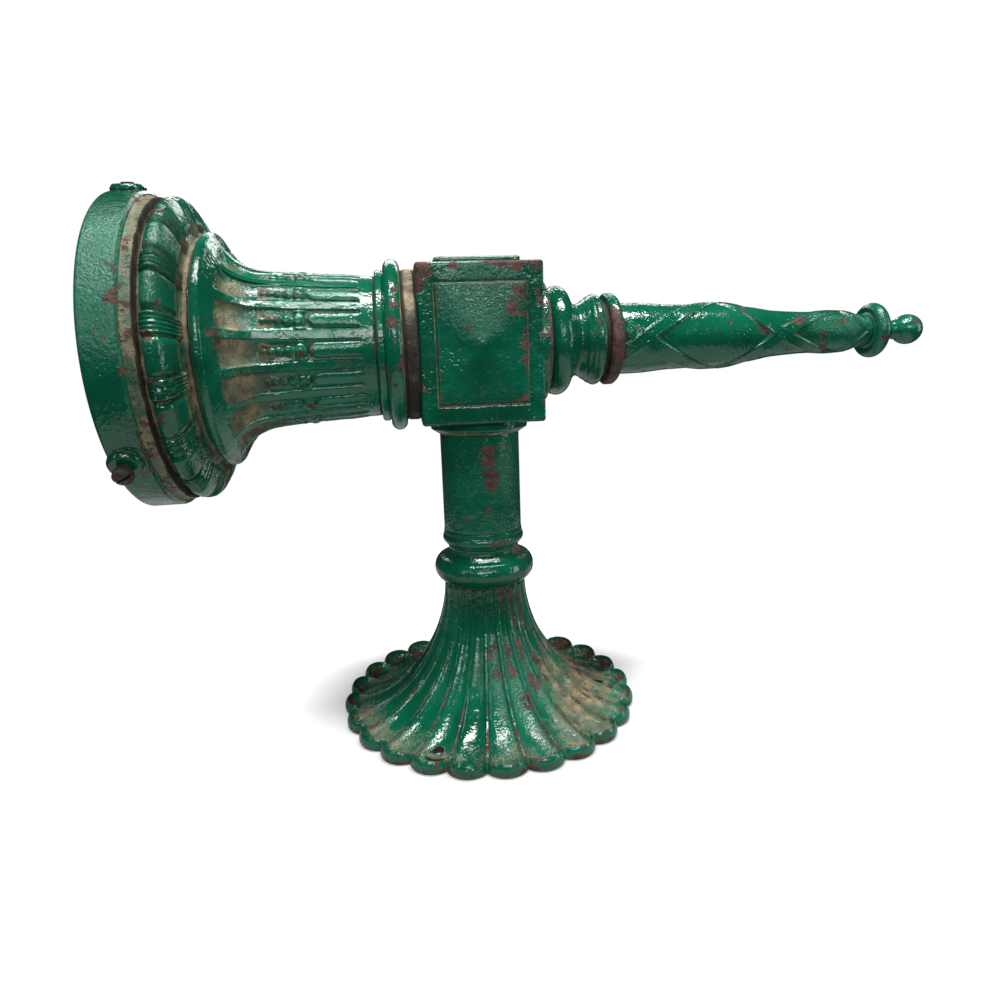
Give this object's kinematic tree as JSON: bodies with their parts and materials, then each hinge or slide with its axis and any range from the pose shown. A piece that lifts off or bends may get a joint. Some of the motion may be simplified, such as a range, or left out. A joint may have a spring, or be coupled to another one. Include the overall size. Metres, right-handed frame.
{
  "type": "wall lamp bracket",
  "caption": "Torch-form cast-iron wall lamp bracket: fluted flange, turned stem, square junction block, bell with globe fitter, and ribboned spire.",
  "frame": {"origin": "centre of the wall flange, on the plane that meets the wall", "axes": "+Z away from the wall along the stem; +X along the arm towards the finial; the globe fitter opens towards -X"},
  "size_m": [0.4778, 0.188, 0.3191],
  "materials": {
    "green_enamel": "gloss",
    "rusty_iron": "worn, rusted",
    "dull_steel": "dull",
    "dull_brass": "tarnished",
    "porcelain": "glazed"
  },
  "bodies": {
    "bracket": {"wall_flange": "green_enamel", "flange_locknut": "dull_steel", "stem_pipe": "dull_steel", "stem_collar": "green_enamel", "stem_sleeve": "green_enamel", "stem_top_ring": "green_enamel", "junction_block": "green_enamel", "block_locknut": "dull_steel", "block_cover": "green_enamel", "cover_screws": "dull_steel", "arm_nipple": "dull_steel", "nipple_inner_locknut": "dull_steel", "nipple_outer_locknut": "dull_steel", "neck_collar": "green_enamel", "fluted_bell": "green_enamel", "gadroon_ring": "green_enamel", "globe_fitter": "green_enamel", "fitter_screws": "dull_steel", "reducing_bushing": "dull_brass", "lampholder_stem": "dull_steel", "lampholder_cap": "dull_brass", "lampholder_body": "porcelain", "lampholder_shell": "dull_brass", "lampholder_contact": "dull_brass", "tie_rod": "dull_steel", "tie_rod_washer": "dull_steel", "tie_rod_nut": "dull_steel", "spool": "green_enamel", "spire_washer": "rusty_iron", "spire": "green_enamel", "finial_disc": "green_enamel", "finial_ball": "green_enamel"},
    "set_screw": {"globe_set_screw": "rusty_iron"},
    "front_screw": {"globe_screw_front": "rusty_iron"},
    "back_screw": {"globe_screw_back": "rusty_iron"}
  },
  "joints": [
    {"name": "set_screw_travel", "type": "slide", "parent": "bracket", "child": "set_screw", "axis": [0, 0.1219, -0.9925], "range_m": [-0.008, 0.004]},
    {"name": "front_screw_travel", "type": "slide", "parent": "bracket", "child": "front_screw", "axis": [0, 0.7986, 0.6018], "range_m": [-0.008, 0.0022]},
    {"name": "back_screw_travel", "type": "slide", "parent": "bracket", "child": "back_screw", "axis": [0, -0.9205, 0.3907], "range_m": [-0.008, 0.0022]}
  ]
}
